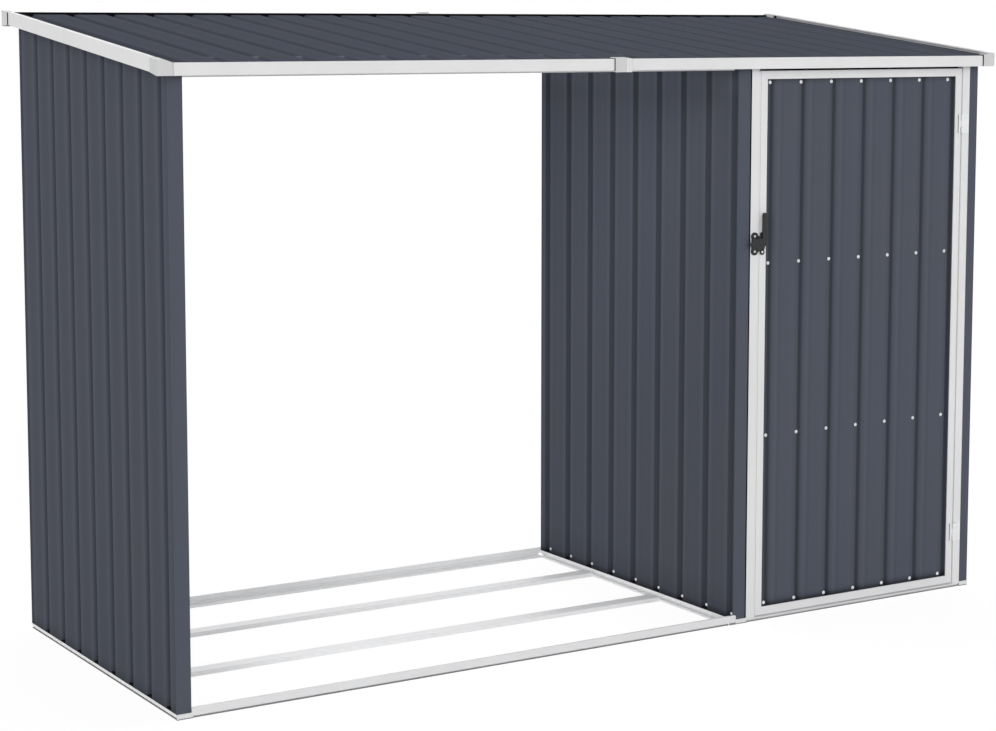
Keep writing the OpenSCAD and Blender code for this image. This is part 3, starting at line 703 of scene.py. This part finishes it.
# Black strips at the ends of the roof trims and beside the trim connectors: painted shadow in the gaps there
LEFT_SEAM_X = (3.6, 5.4)
RIGHT_SEAM_X = (2375.6, 2377.4)
BACK_SEAM_Y = (940, 953.4)
BACK_SEAM_Z = (1549.3, 1579)
FRONT_SEAM_Y = (-25.4, -12)
FRONT_SEAM_Z = (1441.6, 1472)
SIDE_TRIMS_X = ((-33.8, -21), (2402, 2414.8))
SIDE_SEAMS_YZ = (((12.1, 13.9), (1449.5, 1480)), ((914.1, 915.9), (1552.5, 1583)))
CONNECTOR_SEAM_X = (CONNECTOR_BODY - 1.6, CONNECTOR_BODY)
CONNECTOR_SEAMS = (((-25.7, -23.5), 1441), ((951.5, 953.7), 1548.7))
CONNECTOR_RISE = 29


def trim_shadow_strips(bm):
    for seam in (LEFT_SEAM_X, RIGHT_SEAM_X):
        bar(bm, seam, BACK_SEAM_Y, BACK_SEAM_Z)
    bar(bm, RIGHT_SEAM_X, FRONT_SEAM_Y, FRONT_SEAM_Z)
    for trim in SIDE_TRIMS_X:
        for depth, height in SIDE_SEAMS_YZ:
            bar(bm, trim, depth, height)
    for depth, low in CONNECTOR_SEAMS:
        bar(bm, CONNECTOR_SEAM_X, depth, (low, low + CONNECTOR_RISE))


piece("trim_shadow_strips", trim_shadow_strips, rubber_and_shadow_black, "store")

# Black strips beside the hinge plates on the door: painted shadow along the plates' edges
HINGE_SEAM_X = (2312.0, 2312.9)
HINGE_SEAM_Y = (-1.2, 0)
HINGE_SEAM_RISE = 24


def hinge_shadow_strips(bm):
    for z in HINGE_HEIGHTS:
        bar(bm, HINGE_SEAM_X, HINGE_SEAM_Y, (z - HINGE_SEAM_RISE, z + HINGE_SEAM_RISE))


piece("hinge_shadow_strips", hinge_shadow_strips, rubber_and_shadow_black, "door")

# Black strip between the post beside the bay and the jamb: painted shadow in the gap there
POST_SEAL_X = (1601.6, 1605.9)
POST_SEAL_Y = (0.1, 14)
POST_SEAL_Z = (13, 1440)


def post_gap_shadow_strip(bm):
    bar(bm, POST_SEAL_X, POST_SEAL_Y, POST_SEAL_Z)


piece("post_gap_shadow_strip", post_gap_shadow_strip, rubber_and_shadow_black, "store")

# Black foam closure along the roof's back edge, which also gives painted shadow along that edge: a straight
# lip with teeth that fill the grooves
SEAL_FRONT = 942
SEAL_BACK = 947.8
SEAL_LOW = 0.2
SEAL_UP = 5
SEAL_ROOM = 0.4
SEAL_ENDS = (-13, 2394)


def seal_line(first, left, right):
    """The seal over one sheet as (x, height above the sheet) pairs; first is its first groove."""
    half_mouth = GROOVE_MOUTH / 2
    half_floor = GROOVE_FLOOR / 2
    tooth = SEAL_ROOM - GROOVE_DEPTH
    line = [(left, SEAL_LOW)]
    centre = first
    while centre + half_mouth < right:
        line += [(centre - half_mouth + SEAL_ROOM, SEAL_LOW), (centre - half_floor + SEAL_ROOM, tooth),
                 (centre + half_floor - SEAL_ROOM, tooth), (centre + half_mouth - SEAL_ROOM, SEAL_LOW)]
        centre += GROOVE_PITCH
    return line + [(right, SEAL_LOW), (right, SEAL_UP), (left, SEAL_UP)]


def roof_seal_and_shadow(bm):
    depth = SEAL_BACK - SEAL_FRONT
    left_end, right_end = SEAL_ENDS
    for first, left, right in ((ROOF_FIRST, left_end, MID_X), (ROOF_FIRST_RIGHT, MID_X, right_end)):
        line = seal_line(first, left, right)
        outline = [at(x, SEAL_FRONT, roof_at(SEAL_FRONT) + up) for x, up in line]
        prism(bm, outline, along(0, depth, depth * ROOF_FALL))


piece("roof_seal_and_shadow", roof_seal_and_shadow, rubber_and_shadow_black, "store")

# Saddle clip over the joint of the back trims, seen above the roof's back edge
CLIP_ENDS = (1162, 1202)
CLIP_FRONT = 943
CLIP_BACK = 953.9
CLIP_LOW = 1576
CLIP_SHOULDER = 1584.6
CLIP_TOP = 1588.4
CLIP_SLANT = 6


def back_clip(bm):
    left, right = CLIP_ENDS
    line = ((left, CLIP_LOW), (left, CLIP_SHOULDER), (left + CLIP_SLANT, CLIP_TOP),
            (right - CLIP_SLANT, CLIP_TOP), (right, CLIP_SHOULDER), (right, CLIP_LOW))
    prism(bm, [at(x, CLIP_FRONT, z) for x, z in line], along(0, CLIP_BACK - CLIP_FRONT, 0))


piece("back_clip", back_clip, cap_grey, "store")
